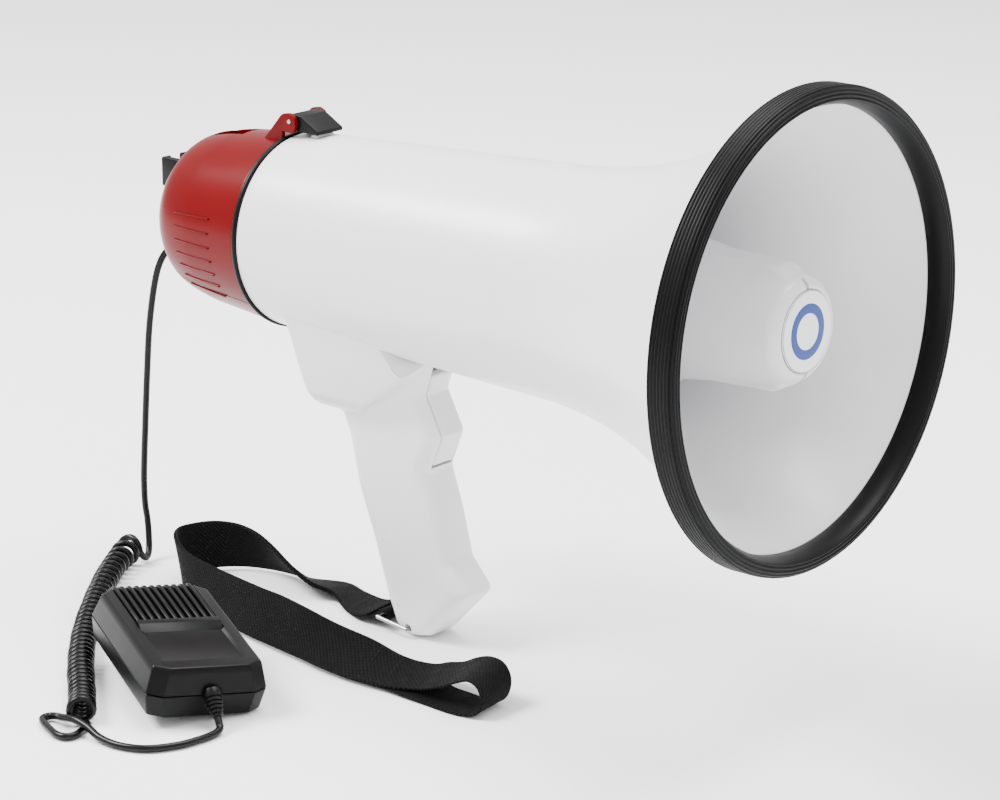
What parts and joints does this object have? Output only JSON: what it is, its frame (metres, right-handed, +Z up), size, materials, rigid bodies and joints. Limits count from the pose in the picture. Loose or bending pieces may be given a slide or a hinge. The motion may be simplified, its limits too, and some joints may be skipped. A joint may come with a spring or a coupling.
{
  "type": "handheld megaphone",
  "caption": "Pistol-grip megaphone with flared bell, centre reflector, trigger, latched rear cap, wrist strap and a fist microphone on a curly cord.",
  "frame": {"origin": "on the supporting surface, under the middle of the megaphone, strap and microphone without the cord", "axes": "+X along the horn towards its mouth, +Y to the horn's left, +Z up"},
  "size_m": [0.4178, 0.3187, 0.2975],
  "materials": {
    "white_plastic": "satin injection-moulded ABS",
    "ivory_plastic": "satin injection-moulded ABS",
    "badge_plastic": "glossy printed disc",
    "red_plastic": "polished injection-moulded ABS",
    "black_plastic": "fine-textured ABS",
    "mic_plastic": "satin ABS",
    "grey_plastic": "fine-textured ABS",
    "rim_rubber": "semi-matt moulded rubber",
    "cord_rubber": "semi-gloss PVC sheath",
    "strap_webbing": "woven nylon webbing",
    "steel": "zinc plated",
    "ferrite": "ground ferrite and plated steel",
    "diaphragm_film": "thin phenolic film",
    "cell_wrap": "printed cell sleeve, plain",
    "circuit_board": "solder-masked laminate"
  },
  "bodies": {
    "root": {"horn_body": "white_plastic", "bell_rim": "rim_rubber", "reflector": "ivory_plastic", "badge_disc": "badge_plastic", "throat_horn": "ivory_plastic", "bulkhead": "ivory_plastic", "driver_frame": "ferrite", "driver_magnet": "ferrite", "diaphragm": "diaphragm_film", "battery_holder": "black_plastic", "battery_cells": "cell_wrap", "battery_contacts": "steel", "gasket_ring": "rim_rubber", "grip_right": "white_plastic", "grip_left": "white_plastic", "grip_screws": "steel", "trigger_pin": "steel", "trigger_spring": "steel", "trigger_switch": "black_plastic", "wrist_strap": "strap_webbing", "mic_front_shell": "mic_plastic", "mic_back_shell": "mic_plastic", "mic_grille": "mic_plastic", "mic_capsule": "steel", "mic_board": "circuit_board", "mic_hang_button": "mic_plastic", "mic_screws": "steel", "mic_strain_relief": "cord_rubber", "cord_coil": "cord_rubber", "cord_tail": "cord_rubber"},
    "rear_cap": {"rear_cap": "red_plastic", "control_panel": "black_plastic", "panel_screws": "steel", "amplifier_board": "circuit_board", "volume_pot": "steel", "mic_hook": "black_plastic", "hook_screws": "steel", "latch_pin": "steel", "cord_gland": "cord_rubber", "cord_lead": "cord_rubber"},
    "latch": {"latch": "black_plastic"},
    "trigger": {"trigger": "ivory_plastic"},
    "volume_knob": {"volume_knob": "black_plastic"},
    "mode_switch": {"mode_switch": "grey_plastic"},
    "record_button": {"record_button": "red_plastic"},
    "mic_talk_button": {"mic_talk_button": "grey_plastic"},
    "strap_bail": {"strap_bail": "steel"}
  },
  "joints": [
    {"name": "cap_slide", "type": "slide", "parent": "root", "child": "rear_cap", "axis": [-1, 0, 0], "range_m": [0, 0.06]},
    {"name": "latch_hinge", "type": "hinge", "parent": "rear_cap", "child": "latch", "pos_m": [-0.1065, 0.036, 0.245], "axis": [0, -1, 0], "range_deg": [0, 100]},
    {"name": "trigger_squeeze", "type": "hinge", "parent": "root", "child": "trigger", "pos_m": [-0.0255, 0.036, 0.127], "axis": [0, 1, 0], "range_deg": [0, 6], "stiffness_Nm_per_rad": 1.2, "springref_deg": -6.88, "deforming": ["trigger_spring"]},
    {"name": "volume_turn", "type": "hinge", "parent": "rear_cap", "child": "volume_knob", "pos_m": [-0.1845, 0.051, 0.184], "axis": [-1, 0, 0], "range_deg": [0, 270]},
    {"name": "mode_slide", "type": "slide", "parent": "rear_cap", "child": "mode_switch", "axis": [0, 1, 0], "range_m": [0, 0.007]},
    {"name": "record_press", "type": "slide", "parent": "rear_cap", "child": "record_button", "axis": [1, 0, 0], "range_m": [0, 0.0015], "stiffness_N_per_m": 400, "springref_m": -0.002},
    {"name": "talk_press", "type": "slide", "parent": "root", "child": "mic_talk_button", "axis": [-0.4261, -0.8987, 0.1037], "range_m": [0, 0.002], "stiffness_N_per_m": 500, "springref_m": -0.002},
    {"name": "bail_swing", "type": "hinge", "parent": "root", "child": "strap_bail", "pos_m": [-0.032, 0.036, 0.005], "axis": [0, 1, 0], "range_deg": [-3, 3]}
  ]
}
